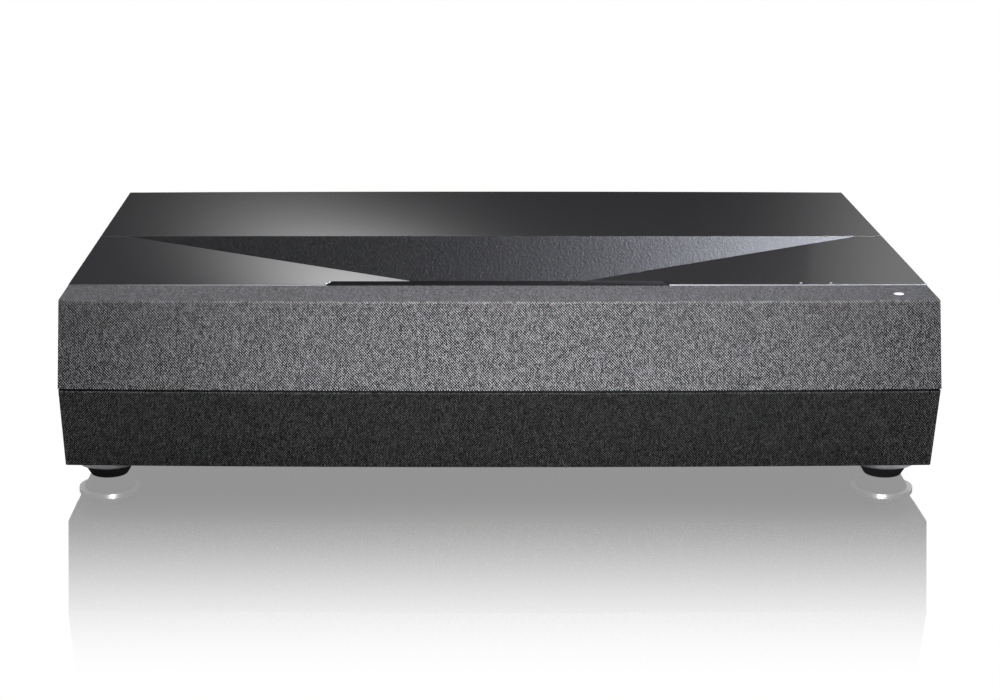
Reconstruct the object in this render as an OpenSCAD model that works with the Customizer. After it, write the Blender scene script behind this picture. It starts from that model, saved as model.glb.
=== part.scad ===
// Ultra-short-throw home projector, fabric-fronted, standing on four levelling feet.
// Millimetres. Origin on the floor under the middle of the body, front towards -Y, +Z up.

/* [Body] */
// Width of the body across its flat sides
body_w = 560; // [520:1:700]
// Depth of the body over its bowed front and back
body_d = 383; // [375:1:470]
// Height from the floor to the top plates
body_h = 129; // [127:0.5:160]
// Gap between the floor and the underside
ground_gap = 19.5; // [19:0.5:24]
// Wall thickness of the moulded shells, and of fabric and frame together
wall = 2.5; // [2:0.1:3]
// How far the front bows out over the body's width
front_bow = 4.7; // [3:0.1:6]
// How far the back bows out over the body's width
rear_bow = 4; // [3:0.1:6]

/* [Front covers] */
// Height of the seam between the two front covers, above the floor
seam_z = 74.3; // [70:0.1:80]
// Gap that the seam leaves between the covers
seam_gap = 1.4; // [1:0.1:2]
// How far the upper cover leans back between the seam and the top
upper_lean = 18.7; // [10:0.1:22]
// How far the lower cover is cut under between the seam and the underside
lower_cut = 15.3; // [10:0.1:18]
// Depth of the fabric band on top, from the leaning face's upper edge
band_d = 40; // [34:0.5:44]
// Thickness of the fabric
fabric_t = 1; // [0.8:0.1:1.2]

/* [Top] */
// Thickness of the top plates
plate_t = 3; // [2.5:0.1:4]
// How far the top plates stand above the fabric band
plate_step = 0.7; // [0.5:0.1:1]
// Gap between neighbouring top plates
plate_gap = 0.4; // [0.3:0.1:0.8]
// Depth of the light well at its front lip
well_depth = 25; // [18:0.5:28]
// Width of the light well at its front lip
well_front_w = 114; // [100:1:130]
// Width of the light well at its rear line
well_rear_w = 522; // [400:1:530]
// Length of the light well from front lip to rear line
well_l = 140; // [130:1:150]
// Depth of the dark strip in front of the well
strip_d = 9; // [8:0.5:14]
// Width of the dark strip along its front edge
strip_w = 224; // [200:1:240]
// Width of the projection window along its front edge
window_w = 96; // [80:1:100]
// Length of the projection window up the well floor
window_l = 46; // [40:1:60]

/* [Power button] */
// Diameter of the button's cap
button_dia = 6.5; // [5:0.1:10]
// Distance of the button from the body's right side
button_inset = 23; // [18:0.5:30]
// How far the button goes down when pressed
button_travel = 0.8; // [0.4:0.1:1.2]

/* [Feet] */
// Diameter of the metal ring of a foot
foot_ring_dia = 41; // [30:0.5:43]
// Thickness of the metal ring of a foot
foot_ring_t = 4.1; // [3:0.1:5]
// Height of the rubber pad of a foot
foot_pad_h = 8.4; // [7:0.1:9]
// Distance of the feet from the body's sides
foot_inset = 22; // [22:0.5:40]
// Distance of the front feet from the front's furthest point
foot_front = 64.5; // [60:0.5:80]
// Distance of the rear feet from the back's furthest point
foot_rear = 45; // [40:0.5:60]
// Diameter of the screw stud
stud_dia = 8; // [6:0.5:10]
// How far a foot screws out
foot_travel = 8; // [4:0.5:10]

/* [Optics] */
// Height of the optical axis above the floor
axis_z = 62; // [60:0.5:66]
// Outer diameter of the lens barrel
barrel_dia = 58; // [50:1:62]
// Length of the lens barrel
barrel_l = 100; // [90:1:110]
// Wall of the lens barrel
barrel_wall = 4; // [3:0.5:5]
// Diameter of the phosphor wheel
phosphor_dia = 60; // [50:1:64]
// Diameter of the colour wheel
colour_dia = 54; // [46:1:58]
// Travel of the focusing lens group to each side
focus_travel = 1.5; // [0.5:0.1:2]

/* [Cooling and sound] */
// Size of a cooling fan's square frame
fan_size = 92; // [80:1:95]
// Depth of a cooling fan
fan_d = 25; // [20:1:25]
// Diameter of a woofer over its basket
woofer_dia = 70; // [60:1:72]
// Diameter of a tweeter
tweeter_dia = 24; // [20:1:26]

/* [Hidden] */

$fn = 64;
big_fn = 1440;              // facets on the arcs of several metres radius
eps = 0.01;
run_gap = 0.05;             // radial running clearance of a shaft in its hole

half_w = body_w / 2;
half_d = body_d / 2;
floor_z = ground_gap + wall;
deck_z = body_h - plate_t;  // top plates lie on this level
deck_low = deck_z - wall;
fabric_top = body_h - plate_step;
inner_x = half_w - wall;    // inside faces of the side panels
front_r = (half_w * half_w + front_bow * front_bow) / (2 * front_bow);
rear_r = (half_w * half_w + rear_bow * rear_bow) / (2 * rear_bow);
arc_half = 2.82;            // swept to each side of the middle, past the widest body
upper_slope = upper_lean / (fabric_top - seam_z);
lower_slope = lower_cut / (seam_z - ground_gap);
// rear edge of the fabric band, where the top plates and side panels begin
panel_y = -half_d + front_bow + upper_lean + band_d;
strip_lip = 2;              // narrow part of the strip between the plates and the well
strip_slant = 4;            // how far the strip's ends slant in
well_front_y = panel_y + strip_d + strip_lip;
well_rear_y = well_front_y + well_l;
well_side = (well_rear_w - well_front_w) / 2 / well_l;
well_slope = well_depth / well_l;

button_x = half_w - button_inset;
button_y = panel_y - 23;
button_skin = fabric_top - wall;

foot_z = foot_pad_h + foot_ring_t;
foot_stop = 0.3;            // air left between a screwed-in foot and the pan
boss_r = stud_dia / 2 + 7;
insert_h = foot_travel + 6;  // thread left in the insert when a foot is screwed out
feet = [[-half_w + foot_inset, -half_d + foot_front], [half_w - foot_inset, -half_d + foot_front],
    [-half_w + foot_inset, half_d - foot_rear], [half_w - foot_inset, half_d - foot_rear]];

post_r = 5;
screw_r = 1.5;
posts = [for (sx = [-1, 1], y = [panel_y + 28, half_d - rear_bow - 12]) [sx * (half_w - 12), y]];

fan_y = well_front_y + 177;
fan_x = inner_x - 3 - fan_d / 2;
fan_z = floor_z + fan_size / 2;
fan_pin = 2.5;

engine_y = well_front_y + 175;
bench_t = 6;
bench_z = floor_z + bench_t;
barrel_y = engine_y - 120;  // front end of the lens barrel
barrel_r = barrel_dia / 2;
flange_r = barrel_r + 3;
flange_t = 4;
prism_s = 32;
tooth = 1;                  // gear module
ring_teeth = 2 * ceil(barrel_dia / 2 / tooth + 4);
ring_root = tooth * (ring_teeth / 2 - 1.25);  // radius of the focus ring under its teeth
pinion_teeth = 12;
gear_y = barrel_y + 42;
gear_w = 10;
gear_apart = tooth * (ring_teeth + pinion_teeth) / 2;
mirror_y = panel_y - 22;
mirror_r = 120;
mirror_w = 114;
mirror_h = 62;
mirror_tilt = 18;

board_z = 48;
board_rear = half_d - rear_bow - 8;
port_face = half_d - rear_bow - wall - 1.5;
inlet_x = -half_w + 62;
inlet_z = 52;
// places of the sockets, and their width, height and depth
lan_x = inlet_x + 44;
lan_size = [15.8, 13.4, 17];
hdmi_x = [lan_x + 24, lan_x + 46, lan_x + 68];
hdmi_size = [15.2, 6.4, 13];
usb_x = [lan_x + 90, lan_x + 108];
usb_size = [14, 7.4, 15];
jack_x = [lan_x + 126, lan_x + 138];
socket_gap = 0.3;           // air around a socket in the rear panel
pocket_x = inlet_x - 20;
pocket_w = jack_x[1] + 14 - pocket_x;
pocket_z = 36;
pocket_h = 42;
board_x = lan_x - 29;
board_w = 170;
board_d = 78;
board_t = 1.6;
socket_z = board_z + board_t;

box_x = half_w - 87;        // middle of a speaker box
box_w = 106;
box_y = -half_d + 27;       // front of the speaker boxes
box_depth = 58;
box_low = 38;
box_high = fabric_top - 12;
woofer_x = half_w - 76;
tweeter_x = half_w - 127;
driver_z = (box_low + box_high) / 2;
cone_travel = 3;            // to each side of rest

// ---- shapes shared by the shells ----

// box that reaches hw to each side of the middle, between two depths and two heights
module slab(hw, y0, y1, z0, z1) {
    translate([-hw, y0, z0]) cube([2 * hw, y1 - y0, z1 - z0]);
}

// a profile of [distance behind the front's furthest point, z] swept along the front's bow
module bow_sweep(profile) {
    translate([0, front_r - half_d, 0]) rotate([0, 0, 270 - arc_half])
        rotate_extrude(angle = 2 * arc_half, $fn = big_fn)
            polygon([for (p = profile) [front_r - p[0], p[1]]]);
}

// a profile of [distance in front of the back's furthest point, z] swept along the back's bow
module rear_sweep(profile) {
    translate([0, half_d - rear_r, 0]) rotate([0, 0, 90 - arc_half])
        rotate_extrude(angle = 2 * arc_half, $fn = big_fn)
            polygon([for (p = profile) [rear_r - p[0], p[1]]]);
}

function upper_set(g, z) = g * sqrt(1 + upper_slope * upper_slope) + upper_slope * (z - seam_z);
function lower_set(g, z) = g * sqrt(1 + lower_slope * lower_slope) + lower_slope * (seam_z - z);

// everything behind the upper cover's outside, g inside it, between two heights
module upper_body(g, z0, z1, y1) {
    intersection() {
        bow_sweep([[upper_set(g, z0), z0], [140, z0], [140, z1], [upper_set(g, z1), z1]]);
        slab(half_w - g, -half_d - 1, y1, z0 - 1, z1 + 1);
    }
}

// everything behind the lower cover's outside, g inside it, between two heights
module lower_body(g, z0, z1, y1) {
    intersection() {
        bow_sweep([[lower_set(g, z0), z0], [140, z0], [140, z1], [lower_set(g, z1), z1]]);
        slab(half_w - g, -half_d - 1, y1, z0 - 1, z1 + 1);
    }
}

// plan of the light well, grown by g
function well_plan(g) = let (k = sqrt(1 + well_side * well_side))
    [[-(well_front_w / 2 + g * (k - well_side)), well_front_y - g],
     [well_front_w / 2 + g * (k - well_side), well_front_y - g],
     [well_rear_w / 2 + g * (k + well_side), well_rear_y + g],
     [-(well_rear_w / 2 + g * (k + well_side)), well_rear_y + g]];

module well_prism(g, z0, z1) {
    translate([0, 0, z0]) linear_extrude(z1 - z0) polygon(well_plan(g));
}

// height of the well floor at y
function well_z(y) = body_h - well_slope * (well_rear_y - y);

// a layer that follows the well floor, from low to high above it
module well_layer(low, high, wide = body_w) {
    y0 = well_front_y - 6;
    y1 = well_rear_y + 6;
    rotate([90, 0, 90]) translate([0, 0, -wide / 2]) linear_extrude(wide)
        polygon([[y0, well_z(y0) + low], [y1, well_z(y1) + low],
            [y1, well_z(y1) + high], [y0, well_z(y0) + high]]);
}

window_y = well_front_y + 6;
module window_prism(z0, z1) {
    w0 = window_w / 2;
    w1 = w0 + window_l * 0.6;
    translate([0, 0, z0]) linear_extrude(z1 - z0)
        polygon([[-w0, window_y], [w0, window_y], [w1, window_y + window_l], [-w1, window_y + window_l]]);
}

module along_x(x0, x1, r, y, z) {
    translate([x0, y, z]) rotate([0, 90, 0]) cylinder(h = x1 - x0, r = r);
}

module along_y(y0, y1, r, x, z) {
    translate([x, y0, z]) rotate([-90, 0, 0]) cylinder(h = y1 - y0, r = r);
}

// ---- housing ----

module base_pan() color("#1c1c1e") difference() {
    union() {
        lower_body(wall, ground_gap, floor_z, panel_y + 10);
        intersection() {
            slab(inner_x, panel_y, half_d, ground_gap, floor_z);
            rear_sweep([[wall, ground_gap - 1], [body_d, ground_gap - 1],
                [body_d, floor_z + 1], [wall, floor_z + 1]]);
        }
        // upright rims that the side panels are clipped to
        for (s = [-1, 1])
            translate([s * (inner_x - 1) - 1, panel_y + 6, floor_z - eps])
                cube([2, half_d - rear_bow - wall - 4 - panel_y - 6, 12]);
        for (f = feet)
            translate([f[0], f[1], floor_z - eps]) cylinder(h = insert_h - wall, r = boss_r);
        for (p = posts)
            translate([p[0], p[1], floor_z - eps]) cylinder(h = deck_low - floor_z + eps, r = post_r);
        // stand-offs of the main board and the power supply
        for (x = [board_x + 3, board_x + board_w - 13], y = [board_rear - board_d + 8, board_rear - 6])
            translate([x, y, floor_z - eps]) cylinder(h = board_z - floor_z + eps, r = 3.5);
    }
    for (f = feet)
        translate([f[0], f[1], ground_gap - 1]) cylinder(h = insert_h + 2, r = stud_dia / 2 + 3);
    for (p = posts)
        translate([p[0], p[1], ground_gap - 1]) {
            cylinder(h = 3, r = 3);
            cylinder(h = 16, r = screw_r);
        }
    // air slots under the light engine
    for (i = [0:11])
        translate([-120 + i * 9, engine_y - 78, ground_gap - 1]) cube([4, 60, wall + 2]);
}

// upright side panel with a field of louvres; s is -1 on the left and 1 on the right
module side_panel(s) {
    y0 = panel_y + plate_gap;
    y1 = half_d - rear_bow - wall - 1;
    x0 = s > 0 ? inner_x : -half_w;
    vent_y = y0 + 26;
    vent_l = (y1 - vent_y - 24) / 3 - 6;
    rows = floor((deck_low - 8 - 40) / 7.5);
    difference() {
        translate([x0, y0, ground_gap]) cube([wall, y1 - y0, deck_z - ground_gap]);
        for (row = [0:rows - 1], col = [0:2])
            translate([x0 - 1, vent_y + col * (vent_l + 6), 40 + row * 7.5]) cube([wall + 2, vent_l, 3.6]);
    }
}

module left_side_panel() color("#232325") side_panel(-1);
module right_side_panel() color("#232325") side_panel(1);

module socket_hole(x, size) {
    translate([x - size[0] / 2 - socket_gap, port_face - 10, socket_z - socket_gap])
        cube([size[0] + 2 * socket_gap, 20, size[1] + 2 * socket_gap]);
}

module rear_panel() color("#202022") {
    difference() {
        union() {
            difference() {
                intersection() {
                    rear_sweep([[0, ground_gap], [wall, ground_gap], [wall, deck_z], [0, deck_z]]);
                    slab(half_w, half_d - rear_bow - wall - 1, half_d + 1, 0, body_h);
                }
                translate([pocket_x, half_d - 20, pocket_z]) cube([pocket_w, 30, pocket_h]);
            }
            // sunk flat panel that carries the sockets
            difference() {
                intersection() {
                    translate([pocket_x - 2, port_face - wall, pocket_z - 2])
                        cube([pocket_w + 4, half_d - port_face + wall, pocket_h + 4]);
                    rear_sweep([[eps, 0], [40, 0], [40, body_h], [eps, body_h]]);
                }
                translate([pocket_x, port_face, pocket_z]) cube([pocket_w, 20, pocket_h]);
            }
        }
        for (x = hdmi_x) socket_hole(x, hdmi_size);
        for (x = usb_x) socket_hole(x, usb_size);
        socket_hole(lan_x, lan_size);
        for (x = jack_x) along_y(port_face - 10, port_face + 10, 4.2, x, socket_z + 5);
        translate([inlet_x - 13.5, port_face - 10, inlet_z - 10]) cube([27, 30, 20]);
        // outlet slots beside the light engine
        for (i = [0:20]) translate([40 + i * 9, half_d - 20, 44]) cube([4.5, 30, deck_low - 60]);
    }
}

module top_deck() color("#161618") difference() {
    intersection() {
        slab(inner_x, panel_y + plate_gap, half_d, deck_low, deck_z);
        rear_sweep([[wall, deck_low - 1], [body_d, deck_low - 1], [body_d, deck_z + 1], [wall, deck_z + 1]]);
    }
    well_prism(wall - 1, deck_low - 1, deck_z + 1);
}

// ---- top ----

module rear_top_plate() color("#0c0c0e") intersection() {
    slab(half_w, well_rear_y, half_d + 1, deck_z, body_h);
    rear_sweep([[0, deck_z - 1], [body_d, deck_z - 1], [body_d, body_h + 1], [0, body_h + 1]]);
}

// gloss plate beside the well; s is -1 on the left and 1 on the right
module wing_plate(s) {
    strip_half = strip_w / 2 + plate_gap;
    translate([0, 0, deck_z]) linear_extrude(plate_t)
        polygon([[s * half_w, panel_y + plate_gap], [s * strip_half, panel_y + plate_gap],
            [s * (strip_half - strip_slant), well_front_y - strip_lip + plate_gap],
            [s * well_front_w / 2, well_front_y - strip_lip + plate_gap],
            [s * well_front_w / 2, well_front_y],
            [s * (well_rear_w / 2 - plate_gap * well_side), well_rear_y - plate_gap],
            [s * half_w, well_rear_y - plate_gap]]);
}

module left_wing_plate() color("#0c0c0e") wing_plate(-1);
module right_wing_plate() color("#0c0c0e") wing_plate(1);

module light_well() color("#2b2b2e") difference() {
    union() {
        intersection() {
            well_prism(0, deck_z - 60, body_h);
            well_layer(-wall, 0);
        }
        // upright walls that hang from the top deck
        intersection() {
            well_prism(wall - 1, deck_z - 60, deck_z);
            well_layer(-wall, 60);
        }
    }
    intersection() {
        well_prism(0, deck_z - 60, body_h + 60);
        well_layer(0, 60);
    }
    window_prism(0, body_h);
}

module projection_window() color("#0a0a10") intersection() {
    window_prism(0, body_h);
    well_layer(-wall, 0);
}

lip_y = well_front_y - strip_lip;
module sensor_bar() color("#050506") translate([0, 0, deck_z]) linear_extrude(plate_t)
    polygon([[-strip_w / 2, panel_y + plate_gap], [strip_w / 2, panel_y + plate_gap],
        [strip_w / 2 - strip_slant, lip_y], [well_front_w / 2 - plate_gap, lip_y],
        [well_front_w / 2 - plate_gap, well_front_y], [-well_front_w / 2 + plate_gap, well_front_y],
        [-well_front_w / 2 + plate_gap, lip_y], [-strip_w / 2 + strip_slant, lip_y]]);

module indicator_lights() color("#d8d8d8")
    for (x = [half_w - 81.5, half_w - 62])
        translate([x, panel_y + 4.5, body_h]) cylinder(h = 0.2, r = 0.8);

module trim_strip() color("#9a9aa0") difference() {
    slab(half_w - 0.5, panel_y, panel_y + plate_gap, deck_low, body_h);
    slab(strip_w / 2, panel_y - 1, panel_y + 2, deck_z, body_h + 1);
}

// ---- front covers ----

module cover_windows(z0, z1) {
    for (s = [-1, 1], i = [0:3])
        translate([s * (box_x + (i - 1.5) * 26) - 11, -half_d - 1, z0]) cube([22, 34, z1 - z0]);
}

module upper_fabric() color("#6f6f74") difference() {
    upper_body(0, seam_z + seam_gap / 2, fabric_top, panel_y);
    upper_body(fabric_t, seam_z - 2, fabric_top - fabric_t, panel_y + 1);
    translate([button_x, button_y, body_h - 10]) cylinder(h = 20, r = button_dia / 2 + 0.3);
}

module upper_grille_frame() color("#18181a") difference() {
    upper_body(fabric_t, seam_z + seam_gap / 2, fabric_top - fabric_t, panel_y);
    upper_body(wall, seam_z - 2, fabric_top - wall, panel_y + 1);
    cover_windows(seam_z + 8, fabric_top - 14);
    translate([button_x, button_y, body_h - 10]) cylinder(h = 20, r = button_dia / 2 + 0.3);
}

module lower_fabric() color("#36363a") difference() {
    lower_body(0, ground_gap, seam_z - seam_gap / 2, panel_y);
    lower_body(fabric_t, ground_gap - 2, seam_z + 2, panel_y + 1);
}

module lower_grille_frame() color("#18181a") difference() {
    lower_body(fabric_t, ground_gap, seam_z - seam_gap / 2, panel_y);
    lower_body(wall, ground_gap - 2, seam_z + 2, panel_y + 1);
    cover_windows(floor_z + 12, seam_z - 8);
}

module seam_gasket() color("#050505") difference() {
    upper_body(1.6, seam_z - seam_gap / 2, seam_z + seam_gap / 2, panel_y);
    upper_body(5, seam_z - 2, seam_z + 2, panel_y + 1);
}

// ---- power button ----

cap_top = fabric_top + 0.2;
cap_flange = button_skin - 1 - button_travel / 2;
board_top = button_skin - 10;
spring_wire = 0.5;

module power_button() color("#e8e8ea") translate([button_x, button_y, 0]) {
    translate([0, 0, cap_flange - 1]) cylinder(h = cap_top - cap_flange + 1, r = button_dia / 2);
    translate([0, 0, cap_flange - 1]) cylinder(h = 1.2, r = button_dia / 2 + 1.6);
    translate([0, 0, board_top + 3.3 + button_travel]) cylinder(h = cap_flange - board_top - 3.8, r = 1.5);
}

function coil(t, r, turns, h) = [r * cos(360 * turns * t), r * sin(360 * turns * t), h * t];

// round-wire helix as one swept surface
module helix(r, turns, h, wire) {
    steps = turns * 12;
    sides = 5;
    points = [for (i = [0:steps]) let (c = coil(i / steps, r, turns, h), a = 360 * turns * i / steps)
        for (j = [0:sides - 1]) let (b = 360 * j / sides)
            [c[0] + wire * cos(b) * cos(a), c[1] + wire * cos(b) * sin(a), c[2] + wire * sin(b)]];
    faces = [for (i = [0:steps - 1], j = [0:sides - 1]) let (k = (j + 1) % sides)
        each [[i * sides + j, (i + 1) * sides + j, i * sides + k],
              [i * sides + k, (i + 1) * sides + j, (i + 1) * sides + k]]];
    ends = [[for (j = [0:sides - 1]) j], [for (j = [sides - 1:-1:0]) steps * sides + j]];
    polyhedron(points, concat(faces, ends));
}

module button_spring() color("#b0b0b0")
    translate([button_x, button_y, board_top + spring_wire])
        helix(r = 3.4, turns = 3, h = cap_flange - 1 - board_top - 2 * spring_wire - 0.1, wire = spring_wire);

module switch_board() color("#1f5a34") {
    translate([button_x - 10, button_y - 9, board_top - 1.2]) cube([18, 18, 1.2]);
    translate([button_x - 1.8, button_y - 1.8, board_top - eps]) cube([3.6, 3.6, 3 + eps]);
    // two arms that carry the board under the cover's top
    for (s = [-1, 1])
        translate([button_x - 10, button_y + s * 8 - 1, board_top - eps])
            cube([18, 2, button_skin - board_top + eps]);
}

// ---- feet ----

module foot_stud(i) translate([feet[i][0], feet[i][1], 0]) {
    translate([0, 0, foot_pad_h]) cylinder(h = foot_ring_t, r = foot_ring_dia / 2);
    translate([0, 0, foot_z - eps]) cylinder(h = ground_gap - foot_z - foot_stop + eps, r = stud_dia / 2 + 5);
    cylinder_top = ground_gap + insert_h - 1;
    translate([0, 0, foot_z]) cylinder(h = cylinder_top - foot_z, r = stud_dia / 2);
}

module foot_pad(i) translate([feet[i][0], feet[i][1], 0])
    cylinder(h = foot_pad_h, r1 = foot_ring_dia / 2 - 8.5, r2 = foot_ring_dia / 2 - 3.5);

module foot_fl_stud() color("#c4c6ca") foot_stud(0);
module foot_fr_stud() color("#c4c6ca") foot_stud(1);
module foot_rl_stud() color("#c4c6ca") foot_stud(2);
module foot_rr_stud() color("#c4c6ca") foot_stud(3);
module foot_fl_pad() color("#111111") foot_pad(0);
module foot_fr_pad() color("#111111") foot_pad(1);
module foot_rl_pad() color("#111111") foot_pad(2);
module foot_rr_pad() color("#111111") foot_pad(3);

module foot_inserts() color("#b5a160") for (f = feet)
    translate([f[0], f[1], ground_gap]) difference() {
        cylinder(h = insert_h, r = stud_dia / 2 + 3);
        translate([0, 0, -1]) cylinder(h = insert_h + 2, r = stud_dia / 2 + run_gap);
    }

// ---- light engine and lens ----

lens_xs = [26, 52];
tunnel_x = 66;
colour_x = 104;
phosphor_x = 140;
laser_x = 172;
laser_w = 26;
sink_l = 40;
lens_r = 13;
lens_t = 8;
lens_air = 14.5;            // between the fixed lenses and the focusing group at its travel's end
group_y = gear_y - 4;
group_l = 18;
group_r = 53;               // radius of the lens pair's hollow faces
hub_r = 9;
shaft_r = 1.5;
colour_y = engine_y - colour_dia / 2 + 5;
phosphor_y = engine_y + phosphor_dia / 2 - 5;

module optical_bench() color("#8f9296") difference() {
    union() {
        translate([-48, engine_y - 34, floor_z]) cube([laser_x + laser_w + 58, 82, bench_t]);
        translate([-48, mirror_y - 10, floor_z]) cube([96, engine_y - 20 - mirror_y, bench_t]);
        // cradles of the lens barrel
        for (y = [barrel_y + 8, barrel_y + barrel_l - 18])
            translate([-barrel_r - 5, y, bench_z - eps]) cube([barrel_dia + 10, 10, axis_z - bench_z]);
        // posts of the prism, the lenses, the tunnel and the lasers
        translate([-prism_s / 2, engine_y - prism_s / 2, bench_z - eps])
            cube([prism_s, prism_s, axis_z - prism_s / 2 - bench_z + eps]);
        for (x = lens_xs)
            translate([x, engine_y - 9, bench_z - eps]) cube([6, 18, axis_z - 8 - bench_z]);
        translate([tunnel_x + 8, engine_y - 5, bench_z - eps]) cube([14, 10, axis_z - 4 - bench_z + eps]);
        translate([laser_x, engine_y - 28, bench_z - eps]) cube([laser_w, 56, axis_z - 28 - bench_z + eps]);
        // brackets of the wheel motors and the focus motor
        translate([colour_x + 4, colour_y - 8, bench_z - eps]) cube([8, 16, axis_z - 4 - bench_z]);
        translate([phosphor_x + 4, phosphor_y - 8, bench_z - eps]) cube([8, 16, axis_z - 4 - bench_z]);
        translate([gear_apart - 5, gear_y + gear_w + 8, bench_z - eps]) cube([10, 20, axis_z - 3 - bench_z]);
        // foot of the concave mirror
        translate([-40, mirror_y - 8, bench_z - eps]) cube([80, 16, 8]);
    }
    along_y(barrel_y - 5, barrel_y + barrel_l + 5, barrel_r, 0, axis_z);
    for (y = [barrel_y, barrel_y + barrel_l - flange_t])
        along_y(y - 1, y + flange_t + 1, flange_r + 1, 0, axis_z);
    along_y(gear_y - 1, gear_y + gear_w + 1, ring_root + 1, 0, axis_z);
    for (x = lens_xs) along_x(x - 1, x + 7, lens_r, engine_y, axis_z);
    along_x(colour_x + 3, colour_x + 20, hub_r + 2, colour_y, axis_z);
    along_x(phosphor_x + 3, phosphor_x + 20, hub_r + 2, phosphor_y, axis_z);
    along_y(gear_y + gear_w + 2, gear_y + gear_w + 40, 9, gear_apart, axis_z);
    mirror_block();
}

module laser_bank() color("#a8783c") {
    translate([laser_x, engine_y - 28, axis_z - 28]) cube([laser_w, 56, 56]);
    // laser diodes in rows facing the wheels
    for (y = [-18, -6, 6, 18], z = [-18, -6, 6, 18])
        along_x(laser_x - 4, laser_x + eps, 3.5, engine_y + y, axis_z + z);
}

module laser_heatsink() color("#b9bbc0") {
    x0 = laser_x + laser_w;
    translate([x0, engine_y - 30, bench_z]) cube([5, 60, fan_size - 14]);
    for (i = [0:9])
        translate([x0 + 5 - eps, engine_y - 30 + i * 6.4, bench_z]) cube([sink_l - 10, 2.4, fan_size - 14]);
}

// thin disc on a hub that turns on its motor's shaft
module wheel(x, y, d) {
    difference() {
        union() {
            along_x(x, x + 1.2, d / 2, y, axis_z);
            along_x(x - 2, x + 2.6, hub_r, y, axis_z);
        }
        along_x(x - 10, x + 10, shaft_r + run_gap, y, axis_z);
        // balance notch
        translate([x - 5, y - 1, axis_z + hub_r - 3]) cube([10, 2, 5]);
    }
}

module phosphor_wheel() color("#cfc05a") wheel(phosphor_x, phosphor_y, phosphor_dia);
module colour_wheel() color("#7da7c7") wheel(colour_x, colour_y, colour_dia);

module wheel_motors() color("#7c7f84") for (m = [[colour_x, colour_y], [phosphor_x, phosphor_y]]) {
    along_x(m[0] + 3.2, m[0] + 14, hub_r + 2, m[1], axis_z);
    along_x(m[0] - 3.4, m[0] + 4, shaft_r, m[1], axis_z);
}

module relay_optics() color("#a9c4cc") {
    for (x = lens_xs) along_x(x, x + 6, lens_r, engine_y, axis_z);
    translate([tunnel_x, engine_y - 4, axis_z - 4]) cube([30, 8, 8]);
}

module prism() color("#bcd0d6") translate([-prism_s / 2, engine_y - prism_s / 2, axis_z - prism_s / 2])
    cube(prism_s);

module dmd_board() color("#235c3a") {
    y0 = engine_y + prism_s / 2;
    translate([-8, y0, axis_z - 6]) cube([16, 3, 12]);
    translate([-30, y0 + 3 - eps, bench_z]) cube([60, 1.6 + eps, 62]);
}

module dmd_heatsink() color("#b9bbc0") {
    y0 = engine_y + prism_s / 2 + 4.6;
    translate([-26, y0, axis_z - 24]) cube([52, 4, 48]);
    for (i = [0:7]) translate([-26 + i * 7, y0 + 4 - eps, axis_z - 24]) cube([3, 18, 48]);
}

module lens_barrel() color("#2f3134") difference() {
    union() {
        along_y(barrel_y, barrel_y + barrel_l, barrel_r, 0, axis_z);
        for (y = [barrel_y, barrel_y + barrel_l - flange_t]) along_y(y, y + flange_t, flange_r, 0, axis_z);
    }
    along_y(barrel_y - 1, barrel_y + barrel_l + 1, barrel_r - barrel_wall, 0, axis_z);
}

// fixed lenses: the front pair, and the last one before the prism, all out of the focusing group's way
module barrel_lenses() color("#9db9c4")
    for (y = [barrel_y + 3, group_y - focus_travel - lens_air - lens_t, barrel_y + barrel_l - 6 - lens_t])
        along_y(y, y + lens_t, barrel_r - barrel_wall, 0, axis_z);

// tooth flanks are straight, with backlash; a is where the first tooth points, n of them are cut
module teeth(count, n, a, width) {
    pitch_r = tooth * count / 2;
    root = pitch_r - 1.25 * tooth;
    tip = pitch_r + 0.85 * tooth;
    for (i = [0:n - 1])
        rotate(a + 360 * i / count)
            linear_extrude(width)
                polygon([[root - 1, -1.05 * tooth], [root, -1.02 * tooth], [tip, -0.32 * tooth],
                    [tip, 0.32 * tooth], [root, 1.02 * tooth], [root - 1, 1.05 * tooth]]);
}

module focus_ring() color("#c9a24a") translate([0, gear_y, axis_z]) rotate([-90, 0, 0]) difference() {
    union() {
        cylinder(h = gear_w, r = ring_root);
        teeth(ring_teeth, 17, -8 * 360 / ring_teeth, gear_w);
    }
    translate([0, 0, -1]) cylinder(h = gear_w + 2, r = barrel_r + run_gap);
}

module focus_pinion() color("#d8d8d0") translate([gear_apart, gear_y, axis_z]) rotate([-90, 0, 0]) difference() {
    union() {
        cylinder(h = gear_w, r = tooth * pinion_teeth / 2 - 1.25 * tooth);
        teeth(pinion_teeth, pinion_teeth, 180 / pinion_teeth, gear_w);
    }
    translate([0, 0, -1]) cylinder(h = gear_w + 2, r = shaft_r + run_gap);
}

module focus_motor() color("#7c7f84") {
    along_y(gear_y + gear_w + 2, gear_y + gear_w + 30, 9, gear_apart, axis_z);
    along_y(gear_y - 1, gear_y + gear_w + 3, shaft_r, gear_apart, axis_z);
}

module focus_lens_group() color("#9db9c4") difference() {
    along_y(group_y, group_y + group_l, barrel_r - barrel_wall - run_gap, 0, axis_z);
    for (y = [group_y + 3 - group_r, group_y + group_l - 3 + group_r]) translate([0, y, axis_z]) sphere(r = group_r);
}

// block of the concave mirror, tilted to throw the picture up through the window
module mirror_block() translate([0, mirror_y, axis_z]) rotate([-mirror_tilt, 0, 0])
    translate([-mirror_w / 2, -9, -mirror_h / 2]) cube([mirror_w, 20, mirror_h]);

module concave_mirror() color("#d5dade") difference() {
    mirror_block();
    translate([0, mirror_y, axis_z]) rotate([-mirror_tilt, 0, 0])
        translate([0, mirror_r - 5, 0]) sphere(r = mirror_r, $fn = 128);
}

// ---- electronics ----

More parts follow.
